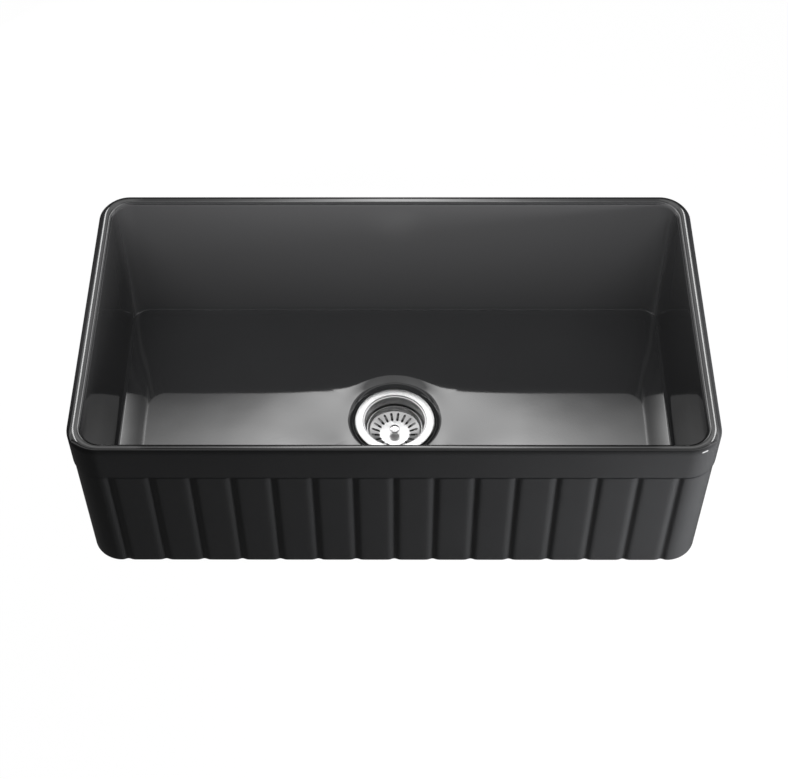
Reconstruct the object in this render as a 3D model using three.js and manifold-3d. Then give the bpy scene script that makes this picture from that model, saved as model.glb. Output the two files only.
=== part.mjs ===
// A farmhouse (apron front) kitchen sink: one slip-cast fireclay bowl with a fluted front below a plain band,
// and the basket strainer waste that clamps through its floor. Millimetres, +Z up. The origin is the centre of
// the fireclay's underside, where the sink rests on the bearers of its cabinet; -Y is the fluted apron front.
import * as THREE from "three";
import { mergeVertices } from "three/addons/utils/BufferGeometryUtils.js";
import Module from "manifold-3d";

const wasm = await Module();
wasm.setup();

// ---------------------------------------------------------------- driving dimensions
// Fireclay bowl
const SINK_WIDTH = 850;
const SINK_DEPTH = 460;
const SINK_HEIGHT = 260;
const FRONT_CORNER_RADIUS = 44; // outside corners, in plan
const REAR_CORNER_RADIUS = 41;
const SIDE_WALL = 20; // wall at the rim, left and right
const END_WALL = 17.5; // wall at the rim, front and rear
const RIM_RADIUS = 8; // both edges of the rim are rolled over
const FOOT_RADIUS = 2.5; // edge round the underside
const WALL_DRAFT = 8; // each inner wall leans in this much on its way down
const BOWL_CORNER_RADIUS = 28; // upright inner corners, at the rim
const FLOOR_FILLET = 17; // between the inner walls and the floor
const FLOOR_THICKNESS = 36; // at the foot of the walls
const FLOOR_FALL = 4; // from there to the edge of the waste's recess

// Fluted field on the apron
const BAND_HEIGHT = 56; // plain band from the rim down to the flutes
const FIELD_RECESS = 0.5; // the flutes' ribs lie this far behind the band
const FIELD_RETURN = 25; // the field runs on this far along the sides behind the front corners
const FIELD_FADE = 50; // and dies out over this length
const FLUTE_COUNT = 15;
const FLUTE_PITCH = 53.3;
const FLUTE_WIDTH = 24;
const FLUTE_DEPTH = 2.8;

// Waste hole, and the recess in the floor that the waste's flange lies in
const WASTE_FORWARD = 5; // the hole's centre lies this far in front of the bowl's middle
const WASTE_HOLE_RADIUS = 46;
const HOLE_CHAMFER = 2;
const SEAT_RADIUS = 60;
const RECESS_RADIUS = 68;
const RECESS_DEPTH = 5;

// Waste flange and cup, pressed from one stainless sheet
const SHEET = 1.2;
const FLANGE_RADIUS = 58;
const FLANGE_STEP_WIDTH = 2; // the flange turns down over this width
const FLANGE_STEP_DROP = 4;
const FLANGE_SEAL = 1.5;
const FLANGE_SEAL_INSET = 1.5; // from the flange's edge
const CUP_CLEARANCE = 1.1; // between the cup and the waste hole
const CUP_DEPTH = 40; // from the flange's top to the cup's floor
const CUP_CORNER = 6;
const THROAT_RADIUS = 25;
const THROAT_CORNER = 2;
const THROAT_DROP = 7;
const SPIDER_ARMS = 4;
const SPIDER_ARM_WIDTH = 5;
const SPIDER_THICKNESS = 2;
const HUB_RADIUS = 10;

// Centre screw, which draws the cup and the outlet body together and guides the basket's stem
const SCREW_RADIUS = 5;
const SCREW_CLEARANCE = 0.4;
const SCREW_HEAD_RADIUS = 8;
const SCREW_HEAD_HEIGHT = 3;
const SCREW_LENGTH = 25; // under its head
const SCREW_SLOT = 1.6; // width and depth of the slot across its head
const SCREW_WASHER = 1;

// Outlet body, moulded in plastic
const LOWER_GASKET = 4;
const GASKET_WIDTH = 9;
const BODY_WALL = 3;
const BODY_CLEARANCE = 2; // round the cup
const BODY_FLANGE_THICKNESS = 4;
const BODY_DEPTH = 38; // straight part, from the flange's top
const BODY_FUNNEL = 15;
const BODY_GUSSETS = 8;
const BODY_GUSSET_THICKNESS = 2.4;
const BODY_GUSSET_HEIGHT = 14;
const OUTLET_BORE_RADIUS = 19.5;
const OUTLET_WALL = 4;
const OUTLET_LENGTH = 22;
const BOSS_WALL = 2.6;
const BOSS_ARM_THICKNESS = 3;
const INSERT_WALL = 2;
const INSERT_HEIGHT = 9;
const INSERT_LIP = 1.2;

// Coupling below the outlet: a tail pipe held by a union nut and a washer
const TAIL_BORE_RADIUS = 17.5;
const TAIL_WALL = 2.2;
const TAIL_LENGTH = 62;
const COLLAR_THICKNESS = 2.5;
const COUPLING_WASHER = 2.5;
const NUT_WALL = 3.5;
const NUT_HEIGHT = 20;
const NUT_LIP = 3;
const NUT_LUGS = 12;
const NUT_LUG_WIDTH = 4;
const NUT_LUG_DEPTH = 2.2;
const THREAD_CLEARANCE = 0.4;

// Basket strainer
const DISH_SHEET = 1;
const DISH_CLEARANCE = 2.2; // between its rim and the cup
const DISH_BEAD = 1; // radius of the bead that its rim is rolled into
const DISH_WALL = 8; // height of its wall
const DISH_CONE_WIDTH = 15.5;
const DISH_CONE_RISE = 5;
const DISH_CORNER = 3;
const SLOT_COUNT = 20;
const SLOT_WIDTH = 2.2;
const SLOT_LENGTH = 12.8;
const KNOB_RADIUS = 7.6;
const KNOB_CAP = 4;
const KNOB_WAIST_RADIUS = 3.8;
const KNOB_FOOT_RADIUS = 5;
const KNOB_HEIGHT = 11.5;
const KNOB_EDGE = 1.5;
const STEM_RADIUS = 2.2;
const STEM_ENGAGEMENT = 6; // length of the stem inside the knob
const BACKING_RADIUS = 20;
const BACKING = 1.2;
const STOPPER_OVERLAP = 5; // the stopper reaches this far past the throat's edge
const STOPPER_THICKNESS = 4;
const STOPPER_LIP = 1.5;
const STEM_WASHER_RADIUS = 7;
const STEM_WASHER = 0.8;
const STEM_NUT_RADIUS = 4.6;
const STEM_NUT = 2.2;
const CATCH_WALL = 0.8;
const CATCH_HEIGHT = 8;
const CATCH_SLIT = 0.8;
const CATCH_CLEARANCE = 0.3; // in the screw's bore
const STEM_PIN_RADIUS = 1.4; // where the catch sits
const STEM_BUTTON = 1; // thickness of the button that keeps the catch on

// Clearances between pieces
const SEAT_GAP = 0.3; // where one piece rests on another
const TURN_GAP = 0.3; // round a piece that passes through another

// Facets
const CORNER_STEPS = 6; // round each corner of the bowl, in plan
const EDGE_STEPS = 4; // over a rim or round a fillet
const LONG_STEPS = 8; // along the front and rear of the bowl's floor
const SHORT_STEPS = 4; // along its sides
const FOLD_STEPS = 2; // round a fold of sheet metal or the edge of a small piece
const ROUND = 32; // round a large turned piece
const SMALL_ROUND = 20; // and round a small one
const BEAD_SIDES = 8;

// ---------------------------------------------------------------- levels and radii that follow from them
const FRONT = -SINK_DEPTH / 2;
const BAND_FOOT = SINK_HEIGHT - BAND_HEIGHT;
const FLOOR_EDGE = FLOOR_THICKNESS - FLOOR_FALL; // floor level at the edge of the recess
const SEAT_LEVEL = FLOOR_EDGE - RECESS_DEPTH;
const FLANGE_TOP = SEAT_LEVEL + FLANGE_SEAL + SHEET + 2 * SEAT_GAP;

// Levels in the waste count up from the top of its flange
const UNDERSIDE = -FLANGE_TOP;
const CUP_OUTER = WASTE_HOLE_RADIUS - CUP_CLEARANCE;
const CUP_INNER = CUP_OUTER - SHEET;
const CUP_FLOOR = -CUP_DEPTH;
const SPIDER_TOP = CUP_FLOOR - THROAT_DROP;
const SCREW_SEAT = SPIDER_TOP + SCREW_WASHER + 2 * SEAT_GAP;
const SCREW_HEAD_TOP = SCREW_SEAT + SCREW_HEAD_HEIGHT;
const GASKET_TOP = UNDERSIDE - SEAT_GAP;
const BODY_TOP = GASKET_TOP - LOWER_GASKET - SEAT_GAP;
const BODY_INNER = CUP_OUTER + BODY_CLEARANCE;
const BODY_OUTER = BODY_INNER + BODY_WALL;
const BODY_FLANGE_RADIUS = BODY_INNER + GASKET_WIDTH;
const FUNNEL_TOP = BODY_TOP - BODY_DEPTH;
const FUNNEL_FOOT = FUNNEL_TOP - BODY_FUNNEL;
const OUTLET_RADIUS = OUTLET_BORE_RADIUS + OUTLET_WALL;
const OUTLET_END = FUNNEL_FOOT - OUTLET_LENGTH;
const INSERT_RADIUS = SCREW_RADIUS + SCREW_CLEARANCE + INSERT_WALL;
const INSERT_FOOT = SCREW_SEAT - SCREW_LENGTH;
const BOSS_FOOT = INSERT_FOOT + INSERT_LIP + SEAT_GAP;
const BOSS_TOP = INSERT_FOOT + INSERT_HEIGHT;
const BOSS_BORE = INSERT_RADIUS + TURN_GAP;
const BOSS_RADIUS = BOSS_BORE + BOSS_WALL;
const COLLAR_TOP = OUTLET_END - COUPLING_WASHER - 2 * SEAT_GAP;
const TAIL_RADIUS = TAIL_BORE_RADIUS + TAIL_WALL;
const NUT_BORE = OUTLET_RADIUS + THREAD_CLEARANCE;
const NUT_FLOOR = COLLAR_TOP - COLLAR_THICKNESS - SEAT_GAP;

// The basket stands on its stopper, which rests on the cup's floor round the throat
const STOPPER_RADIUS = THROAT_RADIUS + STOPPER_OVERLAP;
const STOPPER_FOOT = CUP_FLOOR + SEAT_GAP + STOPPER_LIP;
const BACKING_FOOT = STOPPER_FOOT + STOPPER_THICKNESS + SEAT_GAP;
const DISH_UNDERSIDE = BACKING_FOOT + BACKING + SEAT_GAP;
const DISH_PLATE = DISH_UNDERSIDE + DISH_SHEET;
const DISH_FOOT = DISH_PLATE + DISH_CONE_RISE;
const DISH_RIM = DISH_FOOT + DISH_WALL;
const DISH_RIM_RADIUS = CUP_INNER - DISH_CLEARANCE;
const DISH_INNER = DISH_RIM_RADIUS - 2 * DISH_BEAD;
const DISH_PLATE_RADIUS = DISH_INNER - DISH_CONE_WIDTH - 1;
const KNOB_FOOT = DISH_PLATE + SEAT_GAP;
const STEM_TOP = KNOB_FOOT + STEM_ENGAGEMENT;
const STEM_HOLE = STEM_RADIUS + TURN_GAP;
const STEM_WASHER_TOP = STOPPER_FOOT - SEAT_GAP;
const STEM_NUT_TOP = STEM_WASHER_TOP - STEM_WASHER - SEAT_GAP;
const STEM_SHOULDER = STEM_NUT_TOP - STEM_NUT;
const CATCH_TOP = SCREW_HEAD_TOP - SCREW_HEAD_HEIGHT;
const CATCH_INNER = STEM_PIN_RADIUS + TURN_GAP;
const CATCH_OUTER = CATCH_INNER + CATCH_WALL;
const CATCH_FOOT = CATCH_TOP - CATCH_HEIGHT;
const SCREW_BORE = CATCH_OUTER + CATCH_CLEARANCE;

// ---------------------------------------------------------------- finishes
function finish(color, roughness, metalness) {
  return new THREE.MeshStandardMaterial({ color, roughness, metalness });
}

const GLAZED_FIRECLAY = finish(0x2b2c2f, 0.12, 0);
const STAINLESS = finish(0xcfd0d2, 0.28, 1);
const POLISHED_STEEL = finish(0xdcdddf, 0.12, 1);
const BRASS = finish(0xb8934a, 0.35, 1);
const RUBBER = finish(0x232323, 0.85, 0);
const WHITE_PLASTIC = finish(0xe6e6e2, 0.45, 0);
const GREY_FIBRE = finish(0x8a8780, 0.8, 0);

// ---------------------------------------------------------------- shaping
const HALF_TURN = Math.PI;
const FULL_TURN = 2 * Math.PI;

// The closed solid inside a geometry.
function solidOf(geometry) {
  const bare = geometry.clone();
  bare.deleteAttribute("normal");
  bare.deleteAttribute("uv");
  const welded = mergeVertices(bare, 1e-4);
  const corners = welded.index.array;
  const triangles = [];
  for (let i = 0; i < corners.length; i += 3) {
    const [a, b, c] = corners.slice(i, i + 3);
    if (a !== b && b !== c && c !== a) triangles.push(a, b, c);
  }
  const vertProperties = welded.attributes.position.array;
  return new wasm.Manifold(new wasm.Mesh({ numProp: 3, vertProperties, triVerts: new Uint32Array(triangles) }));
}

function geometryOf(solid) {
  const mesh = solid.getMesh();
  const geometry = new THREE.BufferGeometry();
  geometry.setAttribute("position", new THREE.BufferAttribute(mesh.vertProperties, mesh.numProp));
  geometry.setIndex(new THREE.BufferAttribute(mesh.triVerts, 1));
  geometry.computeVertexNormals();
  return geometry;
}

// A line through corners [x, y, radius], each rounded by an arc of its radius; the two ends stay sharp.
function rounded(corners, steps = FOLD_STEPS) {
  const points = [];
  corners.forEach(([x, y, radius = 0], i) => {
    const corner = new THREE.Vector2(x, y);
    if (radius === 0) {
      points.push(corner);
      return;
    }
    const [beforeX, beforeY] = corners[i - 1];
    const [afterX, afterY] = corners[i + 1];
    const back = new THREE.Vector2(beforeX, beforeY).sub(corner).normalize();
    const on = new THREE.Vector2(afterX, afterY).sub(corner).normalize();
    const halfAngle = Math.acos(THREE.MathUtils.clamp(back.dot(on), -1, 1)) / 2;
    const centre = back.clone().add(on).normalize().multiplyScalar(radius / Math.sin(halfAngle)).add(corner);
    const from = back.multiplyScalar(radius / Math.tan(halfAngle)).add(corner).sub(centre).angle();
    const to = on.multiplyScalar(radius / Math.tan(halfAngle)).add(corner).sub(centre).angle();
    const sweep = Math.atan2(Math.sin(to - from), Math.cos(to - from));
    for (let step = 0; step <= steps; step++) {
      const angle = from + (sweep * step) / steps;
      points.push(new THREE.Vector2(Math.cos(angle), Math.sin(angle)).multiplyScalar(radius).add(centre));
    }
  });
  return points;
}

// The outline of a sheet of even thickness whose upper face follows the line; it lies on the line's left.
function thickened(line, thickness) {
  const under = line.map((point, i) => {
    const along = line[Math.min(i + 1, line.length - 1)].clone().sub(line[Math.max(i - 1, 0)]).normalize();
    return new THREE.Vector2(-along.y, along.x).multiplyScalar(thickness).add(point);
  });
  return [...line, ...under.reverse()];
}

// A turned solid about Z from a closed outline of [radius, height] points.
function turned(outline, segments = ROUND) {
  const points = outline.map((point) => (point.isVector2 ? point.clone() : new THREE.Vector2(...point)));
  if (THREE.ShapeUtils.isClockWise(points)) points.reverse();
  const geometry = new THREE.LatheGeometry([...points, points[0].clone()], segments);
  return solidOf(geometry.rotateX(HALF_TURN / 2));
}

function ring(inner, outer, foot, top, segments = ROUND) {
  return turned([[inner, foot], [outer, foot], [outer, top], [inner, top]], segments);
}

// A plan outline drawn upward from one level to another.
function risen(outline, foot, top) {
  const shape = new THREE.Shape(outline);
  const geometry = new THREE.ExtrudeGeometry(shape, { depth: top - foot, bevelEnabled: false });
  return solidOf(geometry.translate(0, 0, foot));
}

function block(size, centre) {
  return solidOf(new THREE.BoxGeometry(...size).translate(...centre));
}

// The same solid again and again round Z.
function aroundZ(solid, count, firstAngle = 0) {
  const copies = Array.from({ length: count }, (_, i) => {
    const degrees = THREE.MathUtils.radToDeg(firstAngle + (i * FULL_TURN) / count);
    return solid.rotate([0, 0, degrees]);
  });
  return wasm.Manifold.union(copies);
}

// A closed skin through rings of equal counts, lowest first, each anticlockwise from above.
function lofted(rings) {
  const count = rings[0].length;
  const faces = [];
  for (let level = 0; level < rings.length - 1; level++) {
    for (let i = 0; i < count; i++) {
      const here = level * count + i;
      const next = level * count + ((i + 1) % count);
      faces.push(here, next, next + count, here, next + count, here + count);
    }
  }
  const flat = (points) => points.map(({ x, y }) => new THREE.Vector2(x, y));
  const topStart = (rings.length - 1) * count;
  for (const [a, b, c] of THREE.ShapeUtils.triangulateShape(flat(rings[0]), [])) faces.push(c, b, a);
  for (const [a, b, c] of THREE.ShapeUtils.triangulateShape(flat(rings.at(-1)), [])) {
    faces.push(topStart + a, topStart + b, topStart + c);
  }
  const geometry = new THREE.BufferGeometry().setFromPoints(rings.flat());
  geometry.setIndex(faces);
  return solidOf(geometry);
}

function piece(name, material, solid) {
  const mesh = new THREE.Mesh(geometryOf(solid), material);
  mesh.name = name;
  return mesh;
}

// ---------------------------------------------------------------- fireclay bowl
// One level ring of a box with rounded upright corners, from its front right corner round to its front side.
function planRing(halfWidth, halfDepth, frontRadius, rearRadius, level) {
  const corners = [
    [1, -1, frontRadius, SHORT_STEPS],
    [1, 1, rearRadius, LONG_STEPS],
    [-1, 1, rearRadius, SHORT_STEPS],
    [-1, -1, frontRadius, LONG_STEPS],
  ];
  const arcs = corners.map(([sideX, sideY, radius], quarter) => {
    const centre = new THREE.Vector3(sideX * (halfWidth - radius), sideY * (halfDepth - radius), level);
    return Array.from({ length: CORNER_STEPS + 1 }, (_, step) => {
      const angle = (quarter - 1 + step / CORNER_STEPS) * (HALF_TURN / 2);
      return new THREE.Vector3(Math.cos(angle), Math.sin(angle), 0).multiplyScalar(radius).add(centre);
    });
  });
  return arcs.flatMap((arc, quarter) => {
    const next = arcs[(quarter + 1) % arcs.length][0];
    const steps = corners[quarter][3];
    const straight = Array.from({ length: steps - 1 }, (_, i) => arc.at(-1).clone().lerp(next, (i + 1) / steps));
    return [...arc, ...straight];
  });
}

// A level circle about the waste with one point for each of a plan ring's points.
function wasteRing(radius, level) {
  const count = 4 * CORNER_STEPS + 2 * LONG_STEPS + 2 * SHORT_STEPS;
  const first = -(CORNER_STEPS + SHORT_STEPS / 2);
  return Array.from({ length: count }, (_, i) => {
    const angle = ((first + i) * FULL_TURN) / count;
    return new THREE.Vector3(radius * Math.cos(angle), radius * Math.sin(angle) - WASTE_FORWARD, level);
  });
}

// The outside: foot edge, upright walls and the outer half of the rolled rim.
function outsideSolid() {
  const section = rounded(
    [[FOOT_RADIUS, 0], [0, 0, FOOT_RADIUS], [0, SINK_HEIGHT, RIM_RADIUS], [RIM_RADIUS, SINK_HEIGHT]],
    EDGE_STEPS,
  ).slice(1, -1);
  const ringAt = ({ x: inset, y: level }) => planRing(
    SINK_WIDTH / 2 - inset,
    SINK_DEPTH / 2 - inset,
    FRONT_CORNER_RADIUS - inset,
    REAR_CORNER_RADIUS - inset,
    level,
  );
  return lofted(section.map(ringAt));
}

// The hollow: inner half of the rim, leaning walls, fillet, floor falling to the waste and its recess.
function hollowSolid() {
  const section = rounded([
    [RIM_RADIUS + FLOOR_FILLET + WALL_DRAFT, FLOOR_THICKNESS],
    [WALL_DRAFT, FLOOR_THICKNESS, FLOOR_FILLET],
    [0, SINK_HEIGHT, RIM_RADIUS],
    [-RIM_RADIUS, SINK_HEIGHT],
  ], EDGE_STEPS).slice(1, -1);
  const ringAt = ({ x: inset, y: level }) => planRing(
    SINK_WIDTH / 2 - SIDE_WALL - inset,
    SINK_DEPTH / 2 - END_WALL - inset,
    BOWL_CORNER_RADIUS - Math.min(inset, WALL_DRAFT),
    BOWL_CORNER_RADIUS - Math.min(inset, WALL_DRAFT),
    level,
  );
  const walls = section.map(ringAt);
  const mouth = walls.at(-1).map((point) => point.clone().setZ(SINK_HEIGHT + RIM_RADIUS));
  const edge = wasteRing(RECESS_RADIUS, FLOOR_EDGE);
  const halfway = walls[0].map((point, i) => point.clone().lerp(edge[i], 1 / 2));
  const roll = Array.from({ length: EDGE_STEPS }, (_, i) => {
    const share = i / EDGE_STEPS;
    const radius = THREE.MathUtils.lerp(SEAT_RADIUS, RECESS_RADIUS, share);
    const rise = (1 - Math.cos(share * HALF_TURN)) / 2;
    return wasteRing(radius, SEAT_LEVEL + rise * RECESS_DEPTH);
  });
  return lofted([...roll, edge, halfway, ...walls, mouth]);
}

// What is taken off the apron, its corners and the first of its sides so that the band above stands proud.
function fieldCut() {
  const half = SINK_WIDTH / 2;
  const radius = FRONT_CORNER_RADIUS - FIELD_RECESS;
  const returnEnd = FRONT + FRONT_CORNER_RADIUS + FIELD_RETURN;
  const kept = new THREE.Path();
  kept.moveTo(half + FIELD_RECESS, returnEnd + 2 * FIELD_FADE);
  kept.lineTo(-half - FIELD_RECESS, returnEnd + 2 * FIELD_FADE);
  kept.lineTo(-half + FIELD_RECESS, returnEnd);
  kept.absarc(-half + FRONT_CORNER_RADIUS, FRONT + FRONT_CORNER_RADIUS, radius, HALF_TURN, 1.5 * HALF_TURN);
  kept.absarc(half - FRONT_CORNER_RADIUS, FRONT + FRONT_CORNER_RADIUS, radius, 1.5 * HALF_TURN, FULL_TURN);
  kept.lineTo(half - FIELD_RECESS, returnEnd);
  const margin = FIELD_FADE;
  const depth = FRONT_CORNER_RADIUS + FIELD_RETURN + FIELD_FADE + margin;
  const height = BAND_FOOT + margin;
  const front = block(
    [SINK_WIDTH + 2 * margin, depth, height],
    [0, FRONT - margin + depth / 2, BAND_FOOT - height / 2],
  );
  return front.subtract(risen(kept.getPoints(CORNER_STEPS + 2), -2 * margin, SINK_HEIGHT));
}

// One flute: a trough with soft shoulders, open at the foot and stopped square by the band.
function fluteCut(x) {
  const steps = 8;
  const face = FRONT + FIELD_RECESS;
  const trough = Array.from({ length: steps + 1 }, (_, i) => {
    const across = (i / steps - 1 / 2) * FLUTE_WIDTH;
    const depth = (FLUTE_DEPTH * (1 + Math.cos((across / FLUTE_WIDTH) * FULL_TURN))) / 2;
    return new THREE.Vector2(x + across, face + depth);
  });
  const open = face - 2 * FIELD_RECESS;
  const outline = [new THREE.Vector2(x + FLUTE_WIDTH / 2, open), new THREE.Vector2(x - FLUTE_WIDTH / 2, open)];
  return risen([...trough.reverse(), ...outline.reverse()].reverse(), -FLUTE_DEPTH, BAND_FOOT);
}

function wasteHoleCut() {
  const top = SEAT_LEVEL + HOLE_CHAMFER;
  return turned([
    [0, -HOLE_CHAMFER],
    [WASTE_HOLE_RADIUS, -HOLE_CHAMFER],
    [WASTE_HOLE_RADIUS, SEAT_LEVEL - HOLE_CHAMFER],
    [WASTE_HOLE_RADIUS + 2 * HOLE_CHAMFER, top],
    [0, top],
  ]).translate([0, -WASTE_FORWARD, 0]);
}

function fireclayBowl() {
  const flutes = Array.from({ length: FLUTE_COUNT }, (_, i) => fluteCut((i - (FLUTE_COUNT - 1) / 2) * FLUTE_PITCH));
  const bowl = outsideSolid()
    .subtract(hollowSolid())
    .subtract(wasteHoleCut())
    .subtract(fieldCut())
    .subtract(wasm.Manifold.union(flutes));
  return piece("fireclay_bowl", GLAZED_FIRECLAY, bowl);
}

// ---------------------------------------------------------------- waste: cup and its clamp
// Flange, cup and throat are one pressing; the spider across the throat is welded in.
function flangeCup() {
  const upperFace = rounded([
    [THROAT_RADIUS, SPIDER_TOP - SPIDER_THICKNESS],
    [THROAT_RADIUS, CUP_FLOOR, THROAT_CORNER],
    [CUP_INNER, CUP_FLOOR, CUP_CORNER],
    [CUP_INNER, -FLANGE_STEP_DROP, 2 * SHEET],
    [CUP_INNER + FLANGE_STEP_WIDTH, 0, SHEET],
    [FLANGE_RADIUS, 0],
  ]);
  const shell = turned(thickened(upperFace.reverse(), SHEET));
  const armLength = THROAT_RADIUS + SHEET / 2;
  const arm = block(
    [armLength, SPIDER_ARM_WIDTH, SPIDER_THICKNESS],
    [armLength / 2, 0, SPIDER_TOP - SPIDER_THICKNESS / 2],
  );
  const hub = ring(0, HUB_RADIUS, SPIDER_TOP - SPIDER_THICKNESS, SPIDER_TOP, SMALL_ROUND);
  const screwHole = ring(0, SCREW_RADIUS + SCREW_CLEARANCE, SPIDER_TOP - THROAT_DROP, CUP_FLOOR, SMALL_ROUND);
  const spider = aroundZ(arm, SPIDER_ARMS, FULL_TURN / SPIDER_ARMS / 2).add(hub).subtract(screwHole);
  return piece("flange_cup", STAINLESS, shell.add(spider));
}

function flangeSeal() {
  const foot = UNDERSIDE + SEAT_LEVEL + SEAT_GAP;
  const inner = WASTE_HOLE_RADIUS + HOLE_CHAMFER + FLANGE_SEAL_INSET;
  return piece("flange_seal", RUBBER, ring(inner, FLANGE_RADIUS - FLANGE_SEAL_INSET, foot, foot + FLANGE_SEAL));
}

function lowerGasket() {
  const inner = WASTE_HOLE_RADIUS + HOLE_CHAMFER;
  const solid = ring(inner, BODY_FLANGE_RADIUS, GASKET_TOP - LOWER_GASKET, GASKET_TOP);
  return piece("lower_gasket", RUBBER, solid);
}

function screwWasher() {
  const foot = SPIDER_TOP + SEAT_GAP;
  const inner = SCREW_RADIUS + SCREW_CLEARANCE;
  const solid = ring(inner, SCREW_HEAD_RADIUS + SCREW_WASHER, foot, foot + SCREW_WASHER, SMALL_ROUND);
  return piece("screw_washer", GREY_FIBRE, solid);
}

// A slotted screw with a blind bore down from its head, where the catch of the basket runs.
function centreScrew() {
  const boreFoot = CATCH_FOOT - STEM_BUTTON - 2 * SEAT_GAP;
  const tip = INSERT_FOOT - SEAT_GAP;
  const solid = turned(
    rounded([
      [0, tip],
      [SCREW_RADIUS, tip, SCREW_SLOT / 2],
      [SCREW_RADIUS, SCREW_SEAT],
      [SCREW_HEAD_RADIUS, SCREW_SEAT],
      [SCREW_HEAD_RADIUS, SCREW_HEAD_TOP, SCREW_HEAD_HEIGHT / 2],
      [SCREW_BORE, SCREW_HEAD_TOP, SCREW_CLEARANCE],
      [SCREW_BORE, boreFoot],
      [0, boreFoot],
    ]),
    SMALL_ROUND,
  );
  const slot = block(
    [2 * SCREW_HEAD_RADIUS + SCREW_SLOT, SCREW_SLOT, 2 * SCREW_SLOT],
    [0, 0, SCREW_HEAD_TOP],
  );
  return piece("centre_screw", STAINLESS, solid.subtract(slot));
}

// ---------------------------------------------------------------- waste: outlet body and coupling
// A flanged pot with a funnel and a threaded outlet; arms carry a boss for the screw's insert.
function outletBody() {
  const shell = turned([
    [OUTLET_BORE_RADIUS, OUTLET_END],
    [OUTLET_RADIUS, OUTLET_END],
    [OUTLET_RADIUS, FUNNEL_FOOT - BODY_WALL / 2],
    [BODY_OUTER, FUNNEL_TOP - BODY_WALL / 2],
    [BODY_OUTER, BODY_TOP - BODY_FLANGE_THICKNESS],
    [BODY_FLANGE_RADIUS, BODY_TOP - BODY_FLANGE_THICKNESS],
    [BODY_FLANGE_RADIUS, BODY_TOP],
    [BODY_INNER, BODY_TOP],
    [BODY_INNER, FUNNEL_TOP],
    [OUTLET_BORE_RADIUS, FUNNEL_FOOT],
  ]);
  const gussetReach = BODY_FLANGE_RADIUS - 1;
  const gussetTop = BODY_TOP - BODY_FLANGE_THICKNESS / 2;
  const gussetOutline = new THREE.Shape([
    new THREE.Vector2(BODY_OUTER - BODY_WALL / 2, gussetTop - BODY_GUSSET_HEIGHT),
    new THREE.Vector2(gussetReach, gussetTop - BODY_FLANGE_THICKNESS),
    new THREE.Vector2(gussetReach, gussetTop),
    new THREE.Vector2(BODY_OUTER - BODY_WALL / 2, gussetTop),
  ]);
  const gusset = new THREE.ExtrudeGeometry(gussetOutline, { depth: BODY_GUSSET_THICKNESS, bevelEnabled: false });
  gusset.translate(0, 0, -BODY_GUSSET_THICKNESS / 2).rotateX(HALF_TURN / 2);
  const gussets = aroundZ(solidOf(gusset), BODY_GUSSETS);
  const armLength = BODY_INNER + BODY_WALL / 2;
  const arm = block(
    [armLength, BOSS_ARM_THICKNESS, BOSS_TOP - BOSS_FOOT],
    [armLength / 2, 0, (BOSS_TOP + BOSS_FOOT) / 2],
  );
  const envelope = turned([
    [0, FUNNEL_FOOT],
    [OUTLET_BORE_RADIUS + BODY_WALL / 2, FUNNEL_FOOT],
    [BODY_INNER + BODY_WALL / 2, FUNNEL_TOP],
    [BODY_INNER + BODY_WALL / 2, BODY_TOP],
    [0, BODY_TOP],
  ]);
  const boss = ring(0, BOSS_RADIUS, BOSS_FOOT, BOSS_TOP, SMALL_ROUND);
  const bossBore = ring(0, BOSS_BORE, BOSS_FOOT - BOSS_WALL, BOSS_TOP + BOSS_WALL, SMALL_ROUND);
  const arms = aroundZ(arm, SPIDER_ARMS, FULL_TURN / SPIDER_ARMS / 2).intersect(envelope);
  const solid = shell.add(gussets).add(arms.add(boss).subtract(bossBore));
  return piece("outlet_body", WHITE_PLASTIC, solid);
}

// The brass nut that the screw pulls up: its lip bears on the boss from below.
function threadedInsert() {
  const bore = SCREW_RADIUS + SCREW_CLEARANCE;
  const solid = turned([
    [bore, INSERT_FOOT],
    [BOSS_BORE + INSERT_LIP, INSERT_FOOT],
    [BOSS_BORE + INSERT_LIP, INSERT_FOOT + INSERT_LIP],
    [INSERT_RADIUS, INSERT_FOOT + INSERT_LIP],
    [INSERT_RADIUS, BOSS_TOP],
    [bore, BOSS_TOP],
  ], SMALL_ROUND);
  return piece("threaded_insert", BRASS, solid);
}

function couplingWasher() {
  const top = OUTLET_END - SEAT_GAP;
  return piece("coupling_washer", RUBBER, ring(OUTLET_BORE_RADIUS, OUTLET_RADIUS, top - COUPLING_WASHER, top));
}

function tailPipe() {
  const end = COLLAR_TOP - TAIL_LENGTH;
  const solid = turned([
    [TAIL_BORE_RADIUS, end],
    [TAIL_RADIUS, end],
    [TAIL_RADIUS, COLLAR_TOP - COLLAR_THICKNESS],
    [OUTLET_RADIUS, COLLAR_TOP - COLLAR_THICKNESS],
    [OUTLET_RADIUS, COLLAR_TOP],
    [TAIL_BORE_RADIUS, COLLAR_TOP],
  ]);
  return piece("tail_pipe", WHITE_PLASTIC, solid);
}

function unionNut() {
  const outer = NUT_BORE + NUT_WALL;
  const foot = NUT_FLOOR - NUT_LIP;
  const shell = turned(rounded([
    [TAIL_RADIUS + THREAD_CLEARANCE, foot],
    [outer, foot, NUT_LIP / 2],
    [outer, foot + NUT_HEIGHT, NUT_LIP / 2],
    [NUT_BORE, foot + NUT_HEIGHT],
    [NUT_BORE, NUT_FLOOR],
    [TAIL_RADIUS + THREAD_CLEARANCE, NUT_FLOOR],
  ]));
  const lug = block(
    [NUT_LUG_DEPTH + NUT_WALL / 2, NUT_LUG_WIDTH, NUT_HEIGHT - 2 * NUT_LIP],
    [outer + (NUT_LUG_DEPTH - NUT_WALL / 2) / 2, 0, foot + NUT_HEIGHT / 2],
  );
  return piece("union_nut", WHITE_PLASTIC, shell.add(aroundZ(lug, NUT_LUGS)));
}

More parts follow.
